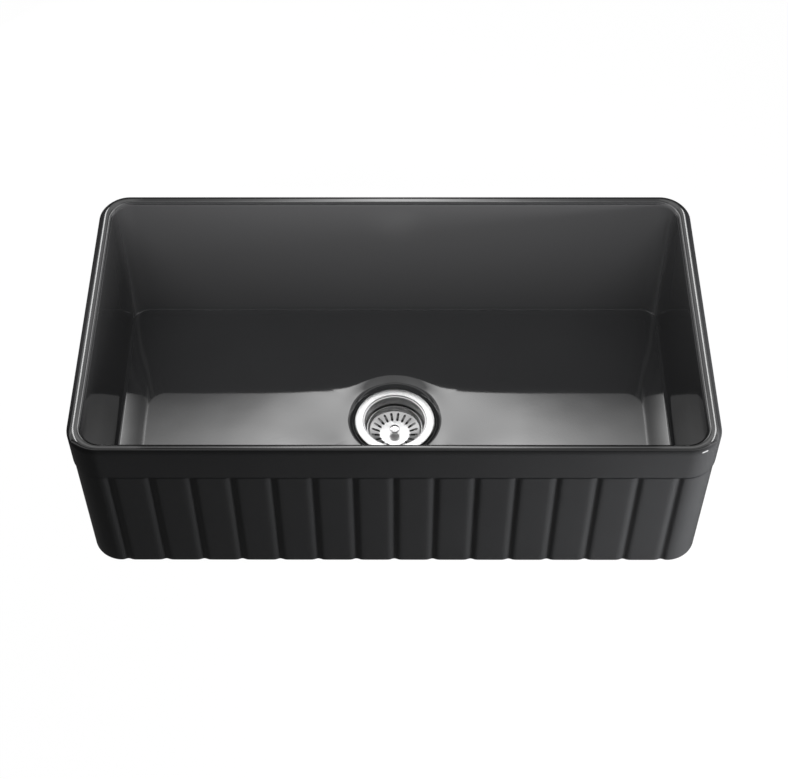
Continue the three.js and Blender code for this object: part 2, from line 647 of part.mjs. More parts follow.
// ---------------------------------------------------------------- basket strainer
// A pressed dish: rolled rim, upright wall, slotted cone and a flat plate in the middle.
function basketDish() {
  const upperFace = rounded([
    [STEM_HOLE, DISH_PLATE],
    [DISH_PLATE_RADIUS, DISH_PLATE, DISH_CORNER],
    [DISH_INNER - 1, DISH_FOOT, DISH_CORNER],
    [DISH_INNER, DISH_RIM - DISH_BEAD],
  ]);
  const bead = Array.from({ length: BEAD_SIDES }, (_, i) => {
    const angle = ((i + 1 / 2) * FULL_TURN) / BEAD_SIDES;
    return [DISH_INNER + DISH_BEAD * (1 + Math.cos(angle)), DISH_RIM - DISH_BEAD * (1 - Math.sin(angle))];
  });
  const shell = turned(thickened(upperFace.reverse(), DISH_SHEET)).add(turned(bead));
  const slotStart = DISH_PLATE_RADIUS - 1;
  const slot = block(
    [SLOT_LENGTH, SLOT_WIDTH, DISH_CONE_RISE + 4 * DISH_SHEET],
    [slotStart + SLOT_LENGTH / 2, 0, DISH_PLATE + DISH_CONE_RISE / 2],
  );
  const slots = aroundZ(slot, SLOT_COUNT, FULL_TURN / SLOT_COUNT / 2);
  return piece("basket_dish", STAINLESS, shell.subtract(slots));
}

function basketKnob() {
  const top = KNOB_FOOT + KNOB_HEIGHT;
  const outline = rounded([
    [0, KNOB_FOOT],
    [KNOB_FOOT_RADIUS, KNOB_FOOT, KNOB_EDGE / 2],
    [KNOB_WAIST_RADIUS, KNOB_FOOT + KNOB_EDGE * 2, KNOB_EDGE],
    [KNOB_WAIST_RADIUS + KNOB_EDGE, top - KNOB_CAP, KNOB_EDGE],
    [KNOB_RADIUS, top - KNOB_CAP + KNOB_EDGE, KNOB_EDGE],
    [KNOB_RADIUS, top, KNOB_EDGE],
    [0, top],
  ]);
  const bore = ring(0, STEM_HOLE, KNOB_FOOT - SEAT_GAP, STEM_TOP + SEAT_GAP, SMALL_ROUND);
  return piece("basket_knob", POLISHED_STEEL, turned(outline, SMALL_ROUND).subtract(bore));
}

// The stem carries every piece of the basket; its thin end and button hold the catch.
function basketStem() {
  const buttonTop = CATCH_FOOT - SEAT_GAP;
  const solid = turned([
    [0, buttonTop - STEM_BUTTON],
    [CATCH_OUTER, buttonTop - STEM_BUTTON],
    [CATCH_OUTER, buttonTop],
    [STEM_PIN_RADIUS, buttonTop],
    [STEM_PIN_RADIUS, CATCH_TOP + SEAT_GAP],
    [STEM_RADIUS, CATCH_TOP + SEAT_GAP],
    [STEM_RADIUS, STEM_TOP],
    [0, STEM_TOP],
  ], SMALL_ROUND);
  return piece("basket_stem", STAINLESS, solid);
}

function backingPlate() {
  const solid = ring(STEM_HOLE, BACKING_RADIUS, BACKING_FOOT, BACKING_FOOT + BACKING, SMALL_ROUND);
  return piece("backing_plate", STAINLESS, solid);
}

// A rubber disc whose lip lies on the cup's floor round the throat when the basket is pushed down.
function stopperSeal() {
  const lipWidth = STOPPER_LIP * 2;
  const solid = turned([
    [STEM_HOLE, STOPPER_FOOT],
    [STOPPER_RADIUS - lipWidth, STOPPER_FOOT],
    [STOPPER_RADIUS - lipWidth, STOPPER_FOOT - STOPPER_LIP],
    [STOPPER_RADIUS, STOPPER_FOOT - STOPPER_LIP],
    [STOPPER_RADIUS, STOPPER_FOOT + STOPPER_THICKNESS / 2],
    [STOPPER_RADIUS - lipWidth, STOPPER_FOOT + STOPPER_THICKNESS],
    [STEM_HOLE, STOPPER_FOOT + STOPPER_THICKNESS],
  ]);
  return piece("stopper_seal", RUBBER, solid);
}

function stemWasher() {
  const foot = STEM_WASHER_TOP - STEM_WASHER;
  return piece("stem_washer", STAINLESS, ring(STEM_HOLE, STEM_WASHER_RADIUS, foot, STEM_WASHER_TOP, SMALL_ROUND));
}

function stemNut() {
  const hexagon = ring(0, STEM_NUT_RADIUS, STEM_SHOULDER, STEM_NUT_TOP, 6);
  const bore = ring(0, STEM_HOLE, STEM_SHOULDER - STEM_NUT, STEM_NUT_TOP + STEM_NUT, SMALL_ROUND);
  return piece("stem_nut", BRASS, hexagon.subtract(bore));
}

// A split sleeve that grips the screw's bore; the stem turns inside it.
function stemCatch() {
  const middle = (CATCH_TOP + CATCH_FOOT) / 2;
  const outline = [
    [CATCH_INNER, CATCH_FOOT],
    [CATCH_OUTER - CATCH_WALL / 3, CATCH_FOOT],
    [CATCH_OUTER, middle],
    [CATCH_OUTER - CATCH_WALL / 3, CATCH_TOP],
    [CATCH_INNER, CATCH_TOP],
  ];
  const slit = block([2 * CATCH_OUTER, CATCH_SLIT, 2 * CATCH_HEIGHT], [CATCH_OUTER, 0, middle]);
  return piece("stem_catch", WHITE_PLASTIC, turned(outline, SMALL_ROUND).subtract(slit));
}

// ---------------------------------------------------------------- assembly
const basket = new THREE.Group();
basket.add(basketDish(), basketKnob(), basketStem(), backingPlate(), stopperSeal(), stemWasher(), stemNut());
basket.add(stemCatch());

const waste = new THREE.Group();
waste.position.set(0, -WASTE_FORWARD, FLANGE_TOP);
waste.add(flangeCup(), flangeSeal(), lowerGasket(), screwWasher(), centreScrew());
waste.add(outletBody(), threadedInsert(), couplingWasher(), tailPipe(), unionNut());
waste.add(basket);

const sink = new THREE.Group();
sink.add(fireclayBowl(), waste);

export default sink;
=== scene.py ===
import math

import bmesh
import bpy
from mathutils import Matrix, Vector


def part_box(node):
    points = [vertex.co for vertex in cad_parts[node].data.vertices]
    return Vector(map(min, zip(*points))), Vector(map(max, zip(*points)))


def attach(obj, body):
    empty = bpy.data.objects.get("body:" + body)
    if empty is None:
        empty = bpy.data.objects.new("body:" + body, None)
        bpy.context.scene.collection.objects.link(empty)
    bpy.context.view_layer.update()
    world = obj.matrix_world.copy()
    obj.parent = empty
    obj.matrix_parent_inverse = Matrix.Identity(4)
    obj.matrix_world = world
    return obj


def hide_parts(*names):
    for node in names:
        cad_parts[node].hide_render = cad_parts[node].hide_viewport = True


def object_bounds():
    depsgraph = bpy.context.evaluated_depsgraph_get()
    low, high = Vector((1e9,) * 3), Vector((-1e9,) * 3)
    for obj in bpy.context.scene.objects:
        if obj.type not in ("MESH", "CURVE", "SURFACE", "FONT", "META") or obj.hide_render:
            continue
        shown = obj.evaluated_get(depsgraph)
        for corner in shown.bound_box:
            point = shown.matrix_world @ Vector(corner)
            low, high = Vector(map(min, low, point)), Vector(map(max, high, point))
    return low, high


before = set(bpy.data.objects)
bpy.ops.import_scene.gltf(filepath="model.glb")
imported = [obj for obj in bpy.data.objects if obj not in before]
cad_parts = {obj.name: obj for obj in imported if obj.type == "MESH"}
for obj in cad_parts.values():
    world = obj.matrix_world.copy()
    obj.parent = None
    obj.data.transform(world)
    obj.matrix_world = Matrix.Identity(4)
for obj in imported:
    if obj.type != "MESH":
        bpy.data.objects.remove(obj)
cad_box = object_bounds()


# ---------------------------------------------------------------- fireclay bowl
# The sink is one slip-cast piece of fireclay under a glossy charcoal glaze: a fluted apron below a plain
# band, a rolled rim, and one bowl whose floor falls to the waste. The clay is bare underneath.
SINK_LOW, SINK_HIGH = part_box("fireclay_bowl")
HALF_WIDTH = SINK_HIGH[0]
HALF_DEPTH = SINK_HIGH[1]
RIM_TOP = SINK_HIGH[2]
FRONT_CORNER = 0.044
REAR_CORNER = 0.041
SIDE_WALL = 0.020
FRONT_WALL = 0.0145
REAR_WALL = 0.0175
INNER_CORNER = 0.028
RIM_OUTER_ROLL = 0.007
RIM_INNER_ROLL = 0.004
OUTER_ROLL_AT_ENDS = 0.45
OUTER_ROLL_AT_REAR = -0.3
INNER_ROLL_AT_ENDS = 0.28
INNER_ROLL_AT_REAR = 0.5
FOOT_EDGE = 0.0025
WALL_LEAN = 0.0055
END_WALL_LEAN = 0.0008
FLOOR_FILLET = 0.006
FILLET_AT_REAR = -0.67
FLOOR_FOOT = 0.036
FLOOR_EDGE = 0.0343
SHOULDER_SLOPE = 0.092
SHOULDER_REACH = 0.017
SEAT_LEVEL = 0.027
SEAT_RADIUS = 0.0588
RECESS_RADIUS = 0.0695
RECESS_SOFTNESS = 1.25
HOLE_RADIUS = 0.046
HOLE_CHAMFER = 0.002
WASTE_Y = -0.005
BAND_FOOT = RIM_TOP - 0.058
LEDGE_HEIGHT = 0.0003
FIELD_RECESS = 0.0015
FIELD_ROWS = 6
FIELD_TOP_GAP = 0.004
# Height of the painted shade line in the crease under the band.
CREASE_HEIGHT = 0.003
CREASE_SECTION = ((0.0032, 0), (0.0014, 0.00005), (0.0009, 0.0002), (0.0004, 0.0004), (0, 0.0005))
FIELD_RETURN = 0.025
FIELD_FADE = 0.050
FLUTE_COUNT = 15
FLUTE_PITCH = 0.0533
FLUTE_SPREAD = 0.0036
FLUTE_DEPTH = 0.0022
STOPS_PER_FLUTE = 30
CORNER_STOPS = 16
SIDE_STOPS = 14
REAR_STOPS = 30
EDGE_ROWS = 8
WALL_ROWS = 8
FLOOR_ROWS = 26
FLOOR_ROW_CROWDING = 1.9
BOWL_MARGIN = 0.001
# Painted light on the bowl's walls: its share at the foot of the rear wall, its fall towards the ends, and
# its share on the end walls.
PAINTED_LIGHT_AT_FOOT = 0.42
PAINTED_LIGHT_FALL_TO_ENDS = 0.3
PAINTED_LIGHT_ON_END_WALLS = 0.7
END_WALL_START = 0.91
END_WALL_BLEND = 0.03
BARE_BELOW = 0.0002


def round_corner(outline, centre, radius, first_angle, stops):
    for stop in range(stops + 1):
        angle = first_angle + stop / stops * math.pi / 2
        inward = Vector((-math.cos(angle), -math.sin(angle)))
        outline.append((centre - inward * radius, inward))


def plan_outline(half_width, half_depth, front_radius, rear_radius):
    """Points and inward directions round the sink, anticlockwise from the front's left end."""
    outline = []
    straight = half_width - front_radius
    spacing = FLUTE_PITCH / STOPS_PER_FLUTE
    count = int((HALF_WIDTH - FRONT_CORNER) / spacing)
    stretch = straight / (HALF_WIDTH - FRONT_CORNER)
    for stop in range(-count, count + 1):
        outline.append((Vector((stop * spacing * stretch, -half_depth)), Vector((0, 1))))
    front_y = front_radius - half_depth
    rear_y = half_depth - rear_radius
    rear_x = half_width - rear_radius
    round_corner(outline, Vector((straight, front_y)), front_radius, -math.pi / 2, CORNER_STOPS)
    for stop in range(1, SIDE_STOPS):
        y = front_y + (rear_y - front_y) * stop / SIDE_STOPS
        outline.append((Vector((half_width, y)), Vector((-1, 0))))
    round_corner(outline, Vector((rear_x, rear_y)), rear_radius, 0, CORNER_STOPS)
    for stop in range(1, REAR_STOPS):
        outline.append((Vector((rear_x - 2 * rear_x * stop / REAR_STOPS, half_depth)), Vector((0, -1))))
    round_corner(outline, Vector((-rear_x, rear_y)), rear_radius, math.pi / 2, CORNER_STOPS)
    for stop in range(1, SIDE_STOPS):
        y = rear_y + (front_y - rear_y) * stop / SIDE_STOPS
        outline.append((Vector((-half_width, y)), Vector((1, 0))))
    round_corner(outline, Vector((-straight, front_y)), front_radius, math.pi, CORNER_STOPS)
    return outline


def apron_share(point):
    """1 over the apron and its two returns, falling to 0 further back along the ends."""
    behind = point.y - (FRONT_CORNER - HALF_DEPTH + FIELD_RETURN)
    return min(1.0, max(0.0, 1 - behind / FIELD_FADE))


def field_depth(point):
    """How far the fluted field lies behind the band's face, at a point of the outer outline."""
    depth = FIELD_RECESS * apron_share(point)
    if point.y < FRONT_CORNER - HALF_DEPTH:
        last = (FLUTE_COUNT - 1) / 2
        nearest = max(-last, min(last, round(point.x / FLUTE_PITCH)))
        across = (point.x - nearest * FLUTE_PITCH) / FLUTE_SPREAD
        depth += FLUTE_DEPTH * math.exp(-across ** 2 / 2)
    return depth


def outline_row(outline, inset, level, sunk=False, fading=False):
    """A row round the outside; a sunk one follows the flutes, a fading one runs out behind the apron."""
    row = []
    for point, inward in outline:
        depth = inset * (apron_share(point) if fading else 1) + (field_depth(point) if sunk else 0)
        place = point + inward * depth
        row.append(Vector((place.x, place.y, level)))
    return row


def rim_row(outline, inset, level, at_ends, at_rear):
    """A row of the rolled rim, whose breadth changes by a share over the end walls and over the rear."""
    row = []
    for point, inward in outline:
        rearward = max(0.0, -inward.y)
        place = point + inward * inset * (1 + at_ends * inward.x ** 2 + at_rear * rearward ** 2)
        row.append(Vector((place.x, place.y, level)))
    return row


def wall_row(outline, down, inset, level):
    """A row of the bowl's walls, a share of the way down; the ends are steeper, the rear's foot tighter."""
    row = []
    for point, inward in outline:
        lean = END_WALL_LEAN + (WALL_LEAN - END_WALL_LEAN) * inward.y ** 2
        rearward = max(0.0, -inward.y)
        place = point + inward * (lean * down + inset * (1 + FILLET_AT_REAR * rearward ** 2))
        row.append(Vector((place.x, place.y, level)))
    return row


def circle_row(outline, radius, level):
    row = []
    for point, _ in outline:
        towards = Vector((point.x, point.y - WASTE_Y)).normalized()
        row.append(Vector((towards.x * radius, WASTE_Y + towards.y * radius, level)))
    return row


def floor_row(wall_foot, edge, share):
    """A row of the floor: an even fall from the walls, steeper just before and behind the waste."""
    row = []
    for foot, rim in zip(wall_foot, edge):
        place = rim.lerp(foot, share)
        ray = foot.xy - rim.xy
        most = SHOULDER_SLOPE * SHOULDER_REACH * (ray.y / ray.length) ** 2
        shoulder = most * math.tanh(ray.length * share / SHOULDER_REACH)
        place.z = rim.z + shoulder + (foot.z - rim.z - most) * share
        row.append(place)
    return row


def edge_arc(centre_inset, centre_level, radius, first_angle, last_angle):
    """Insets and levels over a rounded edge; an angle of 0 points into the sink and a right angle up."""
    steps = [first_angle + (last_angle - first_angle) * i / EDGE_ROWS for i in range(EDGE_ROWS + 1)]
    return [(centre_inset + radius * math.cos(a), centre_level + radius * math.sin(a)) for a in steps]


def outside_rows(outer):
    quarter = math.pi / 2
    rows = [circle_row(outer, HOLE_RADIUS, 0), circle_row(outer, HOLE_RADIUS + 2 * HOLE_CHAMFER, 0)]
    for inset, level in edge_arc(FOOT_EDGE, FOOT_EDGE, FOOT_EDGE, -quarter, -2 * quarter):
        rows.append(outline_row(outer, inset, level, sunk=True))
    groove = BAND_FOOT - LEDGE_HEIGHT
    field_height = groove - FIELD_TOP_GAP - FOOT_EDGE
    for step in range(1, FIELD_ROWS + 1):
        rows.append(outline_row(outer, 0, FOOT_EDGE + field_height * step / FIELD_ROWS, sunk=True))
    for drop, depth in CREASE_SECTION:
        rows.append(outline_row(outer, depth, groove - drop, sunk=True, fading=True))
    band_edge = edge_arc(FIELD_RECESS, BAND_FOOT + FIELD_RECESS, FIELD_RECESS, -quarter, -2 * quarter)
    for inset, level in band_edge:
        rows.append(outline_row(outer, inset, level, fading=True))
    rows.append(outline_row(outer, 0, BAND_FOOT + 2 * FIELD_RECESS))
    roll = RIM_OUTER_ROLL
    for inset, level in edge_arc(roll, RIM_TOP - roll, roll, 2 * quarter, quarter):
        rows.append(rim_row(outer, inset, level, OUTER_ROLL_AT_ENDS, OUTER_ROLL_AT_REAR))
    return rows


def inside_rows(inner):
    quarter = math.pi / 2
    rows = []
    roll = RIM_INNER_ROLL
    for inset, level in edge_arc(-roll, RIM_TOP - roll, roll, quarter, 0):
        rows.append(rim_row(inner, inset, level, INNER_ROLL_AT_ENDS, INNER_ROLL_AT_REAR))
    fillet_level = FLOOR_FOOT + FLOOR_FILLET
    wall_height = RIM_TOP - roll - fillet_level
    for step in range(1, WALL_ROWS):
        down = step / WALL_ROWS
        rows.append(wall_row(inner, down, 0, RIM_TOP - roll - wall_height * down))
    for inset, level in edge_arc(FLOOR_FILLET, fillet_level, FLOOR_FILLET, 2 * quarter, 3 * quarter):
        rows.append(wall_row(inner, 1, inset, level))
    edge = circle_row(inner, RECESS_RADIUS, FLOOR_EDGE)
    wall_foot = rows[-1]
    for step in range(1, FLOOR_ROWS):
        rows.append(floor_row(wall_foot, edge, (1 - step / FLOOR_ROWS) ** FLOOR_ROW_CROWDING))
    for step in range(EDGE_ROWS + 1):
        share = step / EDGE_ROWS
        radius = RECESS_RADIUS + (SEAT_RADIUS - RECESS_RADIUS) * share
        fall = (1 - math.cos(share * math.pi / 2)) ** RECESS_SOFTNESS
        rows.append(circle_row(inner, radius, FLOOR_EDGE + (SEAT_LEVEL - FLOOR_EDGE) * fall))
    rows.append(circle_row(inner, HOLE_RADIUS + HOLE_CHAMFER, SEAT_LEVEL))
    rows.append(circle_row(inner, HOLE_RADIUS, SEAT_LEVEL - HOLE_CHAMFER))
    return rows


def drawn_rows(bm, rows):
    """Draws the first row as a loop of edges, extrudes it from row to row and closes it on itself."""
    ring = [bm.verts.new(place) for place in rows[0]]
    edges = [bm.edges.new((ring[i - 1], ring[i])) for i in range(len(ring))]
    for row in rows[1:] + rows[:1]:
        drawn = bmesh.ops.extrude_edge_only(bm, edges=edges)["geom"]
        new = {v for v in drawn if isinstance(v, bmesh.types.BMVert)}
        edges = [e for e in drawn if isinstance(e, bmesh.types.BMEdge) and set(e.verts) <= new]
        ring = [next(e.other_vert(v) for e in v.link_edges if e.other_vert(v) in new) for v in ring]
        for vert, place in zip(ring, row):
            vert.co = place
    bmesh.ops.remove_doubles(bm, verts=bm.verts, dist=1e-6)
    bmesh.ops.recalc_face_normals(bm, faces=bm.faces)


def within_bowl(place):
    """True for the inside of the bowl, out to the edge where the walls meet the rim."""
    behind_front = place.y > FRONT_WALL - HALF_DEPTH - BOWL_MARGIN
    before_rear = place.y < HALF_DEPTH - REAR_WALL + BOWL_MARGIN
    return behind_front and before_rear and abs(place.x) < HALF_WIDTH - SIDE_WALL + BOWL_MARGIN


def painted_wall_light(place):
    """Painted light: how far the walls' colour is lightened to stand in for light, most high on the inside
    of the rear wall, less lower down and towards the ends, and an even share on the end walls; 0 on the
    floor and outside the bowl.
    """
    if not within_bowl(place):
        return 0.0
    above_floor = min(1.0, max(0.0, (place.z - FLOOR_FOOT) / FLOOR_FILLET))
    height = min(1.0, max(0.0, (place.z - FLOOR_FOOT) / (RIM_TOP - FLOOR_FOOT)))
    towards_rear = min(1.0, max(0.0, place.y / (HALF_DEPTH - REAR_CORNER)))
    towards_end = abs(place.x) / HALF_WIDTH
    left = PAINTED_LIGHT_AT_FOOT
    at_rear = (left + (1 - left) * height) * (left + (1 - left) * towards_rear ** 2)
    at_rear *= 1 - PAINTED_LIGHT_FALL_TO_ENDS * towards_end ** 2
    at_end = PAINTED_LIGHT_ON_END_WALLS * min(1.0, max(0.0, (towards_end - END_WALL_START) / END_WALL_BLEND))
    return above_floor * max(at_rear, at_end)


def painted_crease_shade(place):
    """Painted shade: 1 in the crease under the band, where the colour is darkened to stand in for shade,
    falling to 0 above and below it.
    """
    if within_bowl(place):
        return 0.0
    away = abs(place.z - BAND_FOOT) / CREASE_HEIGHT
    return apron_share(place) * min(1.0, max(0.0, 2 * (1 - away)))


def finished(name, bm, material, smooth_below=math.radians(40)):
    mesh = bpy.data.meshes.new(name)
    bm.to_mesh(mesh)
    bm.free()
    piece = bpy.data.objects.new(name, mesh)
    bpy.context.scene.collection.objects.link(piece)
    mesh.materials.append(material)
    mesh.shade_smooth()
    mesh.set_sharp_from_angle(angle=smooth_below)
    return piece


class Finish:
    """One material: a shader with its fixed values, and one short call for each node of its pattern."""

    def __init__(self, name, **values):
        self.material = bpy.data.materials.new(name)
        self.material.use_nodes = True
        self.tree = self.material.node_tree
        self.tree.nodes.clear()
        self.shader = self.add("ShaderNodeBsdfPrincipled", **values)
        output = self.add("ShaderNodeOutputMaterial", {"Surface": self.shader.outputs[0]})
        self.surface = output.inputs["Surface"]
        self.place = self.add("ShaderNodeTexCoord").outputs["Object"]

    def add(self, kind, links=None, **values):
        node = self.tree.nodes.new(kind)
        for key, value in values.items():
            if hasattr(node, key):
                setattr(node, key, value)
            else:
                node.inputs[key.replace("_", " ")].default_value = value
        for socket, source in (links or {}).items():
            self.tree.links.new(source, node.inputs[socket])
        return node

    def noise(self, scale, detail=2.0):
        noise = self.add("ShaderNodeTexNoise", {"Vector": self.place}, Scale=scale, Detail=detail)
        return noise.outputs["Fac"]

    def attribute(self, name):
        return self.add("ShaderNodeAttribute", attribute_name=name).outputs["Fac"]

    def between(self, source, low, high, start=0.0, end=1.0):
        """Turns start to end of a pattern into low to high."""
        links = {"Value": source}
        values = {"From_Min": start, "From_Max": end, "To_Min": low, "To_Max": high}
        return self.add("ShaderNodeMapRange", links, **values).outputs["Result"]

    def blend(self, source, first, second):
        """Goes from the first colour to the second with the source; either may be a colour or an output."""
        node = self.add("ShaderNodeMix", {"Factor": source}, data_type="RGBA")
        for socket, colour in (("A", first), ("B", second)):
            if isinstance(colour, tuple):
                node.inputs[socket].default_value = (*colour, 1)
            else:
                self.tree.links.new(colour, node.inputs[socket])
        return node.outputs["Result"]

    def math(self, operation, first, second=0.0):
        node = self.add("ShaderNodeMath", {0: first}, operation=operation)
        if isinstance(second, (int, float)):
            node.inputs[1].default_value = second
        else:
            self.tree.links.new(second, node.inputs[1])
        return node.outputs[0]

    def bump(self, height, distance, strength=1.0, under=None):
        links = {"Height": height}
        if under:
            links["Normal"] = under
        return self.add("ShaderNodeBump", links, Strength=strength, Distance=distance).outputs["Normal"]

    def shade(self, **sources):
        for socket, source in sources.items():
            self.tree.links.new(source, self.shader.inputs[socket.replace("_", " ")])
        return self.material


def charcoal_glaze():
    finish = Finish("charcoal_glaze", IOR=1.6)
    cloud = finish.noise(9, 3)
    thick = finish.blend(cloud, (0.0152, 0.0154, 0.0160), (0.0180, 0.0182, 0.0188))
    # Painted light: the bowl's walls are lightened high up and on the end walls, to stand in for light
    # falling there.
    glazed = finish.blend(finish.attribute("painted_wall_light"), thick, (0.047, 0.047, 0.048))
    # Painted shade: a dark line in the crease under the band, standing in for the shade under its edge.
    glazed = finish.blend(finish.attribute("painted_crease_shade"), glazed, (0.004, 0.004, 0.0045))
    grit = finish.noise(160, 4)
    clay = finish.blend(grit, (0.42, 0.33, 0.24), (0.55, 0.45, 0.34))
    bare = finish.attribute("bare_clay")
    colour = finish.blend(bare, glazed, clay)
    gloss = finish.between(finish.noise(30), 0.03, 0.05)
    dull = finish.math("MAXIMUM", gloss, finish.math("MULTIPLY", bare, 0.85))
    ripple = finish.bump(finish.noise(13, 1), 0.00008)
    peel = finish.bump(finish.noise(300), 0.000004, 1.0, ripple)
    return finish.shade(Base_Color=colour, Roughness=dull, Normal=peel)


bowl_mesh = bmesh.new()
outer_outline = plan_outline(HALF_WIDTH, HALF_DEPTH, FRONT_CORNER, REAR_CORNER)
bowl_half_depth = HALF_DEPTH - (FRONT_WALL + REAR_WALL) / 2
bowl_shift = Vector((0, (FRONT_WALL - REAR_WALL) / 2))
inner_outline = [(point + bowl_shift, inward) for point, inward in
                 plan_outline(HALF_WIDTH - SIDE_WALL, bowl_half_depth, INNER_CORNER, INNER_CORNER)]
drawn_rows(bowl_mesh, outside_rows(outer_outline) + inside_rows(inner_outline))
painted_light_layer = bowl_mesh.verts.layers.float.new("painted_wall_light")
crease_shade_layer = bowl_mesh.verts.layers.float.new("painted_crease_shade")
bare_layer = bowl_mesh.verts.layers.float.new("bare_clay")
for vert in bowl_mesh.verts:
    vert[painted_light_layer] = painted_wall_light(vert.co)
    vert[crease_shade_layer] = painted_crease_shade(vert.co)
    vert[bare_layer] = 1.0 if vert.co.z < BARE_BELOW else 0.0
fireclay = finished("glazed_fireclay_bowl", bowl_mesh, charcoal_glaze(), math.radians(50))
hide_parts("fireclay_bowl")
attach(fireclay, "sink")


# ---------------------------------------------------------------- waste flange and cup
# A cup pressed from one sheet of stainless steel. Its flange lies in the floor's recess, and a spider of
# four arms is welded across the throat in its floor to carry the centre screw.
MM = 0.001
WASTE_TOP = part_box("flange_cup")[1][2]
SIDES = 96
SHEET = 1.2
FLANGE_RADIUS = 58
CUP_RADIUS = 43.7
CUP_FLOOR = -40
THROAT_RADIUS = 25
SPIDER_TOP = -47
SPIDER_THICKNESS = 2
SPIDER_ARM_WIDTH = 5
HUB_RADIUS = 10
SCREW_HOLE = 5.4


def softened(corners, steps=4):
    """A closed outline of (radius, level); a corner that gives a third value is rounded to that radius."""
    outline = []
    count = len(corners)
    for i, corner in enumerate(corners):
        here = Vector(corner[:2])
        if len(corner) == 2:
            outline.append(here)
            continue
        before = (Vector(corners[i - 1][:2]) - here).normalized()
        after = (Vector(corners[(i + 1) % count][:2]) - here).normalized()
        half = before.angle(after) / 2
        run = corner[2] / math.tan(half)
        centre = here + (before + after).normalized() * corner[2] / math.sin(half)
        first = here + before * run - centre
        turn = first.angle_signed(here + after * run - centre)
        for step in range(steps + 1):
            outline.append(centre + Matrix.Rotation(-turn * step / steps, 2) @ first)
    return outline


def spun(bm, corners, sides=SIDES, steps=4):
    """Spins a closed outline once round the waste's axis."""
    outline = softened(corners, steps)
    verts = [bm.verts.new((p.x, 0, p.y)) for p in outline]
    edges = [bm.edges.new((verts[i - 1], verts[i])) for i in range(len(verts))]
    bmesh.ops.spin(bm, geom=verts + edges, cent=(0, 0, 0), axis=(0, 0, 1), dvec=(0, 0, 0),
                   angle=2 * math.pi, steps=sides, use_merge=True, use_duplicate=False)


def bar(bm, size, centre, angle):
    """A plain bar, turned about the waste's axis."""
    turn = Matrix.Rotation(angle, 4, "Z")
    matrix = turn @ Matrix.Translation(centre) @ Matrix.Diagonal((*size, 1))
    return bmesh.ops.create_cube(bm, size=1, matrix=matrix)["verts"]


def waste_piece(name, bm, material, node, body, smooth_below=math.radians(35)):
    """Closes a mesh made in millimetres about the waste's axis and puts it in its place in the sink."""
    bmesh.ops.remove_doubles(bm, verts=bm.verts, dist=0.001)
    bmesh.ops.recalc_face_normals(bm, faces=bm.faces)
    bmesh.ops.scale(bm, verts=bm.verts, vec=(MM, MM, MM))
    bmesh.ops.translate(bm, verts=bm.verts, vec=(0, WASTE_Y, WASTE_TOP))
    piece = finished(name, bm, material, smooth_below)
    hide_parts(node)
    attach(piece, body)


def turned_metal(name, colour, roughness):
    """Metal with the fine rings that turning or polishing on a lathe leaves round the waste's axis."""
    finish = Finish(name, Metallic=1.0)
    centred = finish.add("ShaderNodeMapping", {"Vector": finish.place}, Location=(0, -WASTE_Y, 0))
    rings = finish.add("ShaderNodeTexWave", {"Vector": centred.outputs["Vector"]}, wave_type="RINGS",
                       rings_direction="Z", Scale=220, Distortion=1.5, Detail=2).outputs["Fac"]
    cloud = finish.noise(60, 3)
    darker = tuple(0.9 * part for part in colour)
    tone = finish.blend(cloud, darker, colour)
    dull = finish.between(cloud, roughness * 0.8, roughness * 1.25)
    return finish.shade(Base_Color=tone, Roughness=dull, Normal=finish.bump(rings, 0.00002, 0.4))


satin_steel = turned_metal("satin_stainless_steel", (0.80, 0.80, 0.80), 0.30)

cup_mesh = bmesh.new()
spun(cup_mesh, [
    (FLANGE_RADIUS, -SHEET, 0.5), (FLANGE_RADIUS, 0, 0.5), (46.8, 0, 0.4), (46.5, -1.6, 0.3),
    (44.4, -1.7, 0.5), (CUP_RADIUS, -3.4, 0.5), (CUP_RADIUS, CUP_FLOOR, 6), (THROAT_RADIUS, CUP_FLOOR, 2),
    (THROAT_RADIUS, SPIDER_TOP - SPIDER_THICKNESS), (THROAT_RADIUS + SHEET, SPIDER_TOP - SPIDER_THICKNESS),
    (THROAT_RADIUS + SHEET, CUP_FLOOR - SHEET, 0.8), (CUP_RADIUS + SHEET, CUP_FLOOR - SHEET, 7.2),
    (CUP_RADIUS + SHEET, -2 * SHEET, 1.0), (CUP_RADIUS + 3 * SHEET, -SHEET, 0.5),
])
spun(cup_mesh, [
    (HUB_RADIUS, SPIDER_TOP - SPIDER_THICKNESS, 0.4), (HUB_RADIUS, SPIDER_TOP, 0.4),
    (SCREW_HOLE, SPIDER_TOP), (SCREW_HOLE, SPIDER_TOP - SPIDER_THICKNESS),
], 48)
for arm in range(4):
    length = THROAT_RADIUS + SHEET / 2 - HUB_RADIUS + 1
    centre = (HUB_RADIUS - 1 + length / 2, 0, SPIDER_TOP - SPIDER_THICKNESS / 2)
    bar(cup_mesh, (length, SPIDER_ARM_WIDTH, SPIDER_THICKNESS), centre, math.radians(45 + 90 * arm))
waste_piece("waste_flange_and_cup", cup_mesh, satin_steel, "flange_cup", "sink")


# ---------------------------------------------------------------- basket strainer
# A dish pressed from stainless sheet with a rolled rim and twenty punched slots. The knob is turned and
# polished; its stem carries the backing plate and the rubber stopper, and ends in the split catch.
SLOT_COUNT = 20
SLOT_HALF = 1.8
SLOT_START = 22.0
SLOT_END = 34.8
DISH_SHEET = 1
DISH_HOLE = 2.6
DISH_PLATE = -31.4
DISH_RIM = -18.4
DISH_RIM_RADIUS = 41.5
DISH_COLUMNS = 6
KNOB_FOOT = -31.1
STEM_TOP = -24.8
KNOB_TOP = -19.6
STEM_RADIUS = 2.5
STOPPER_RADIUS = 30
STOPPER_FOOT = -38.2


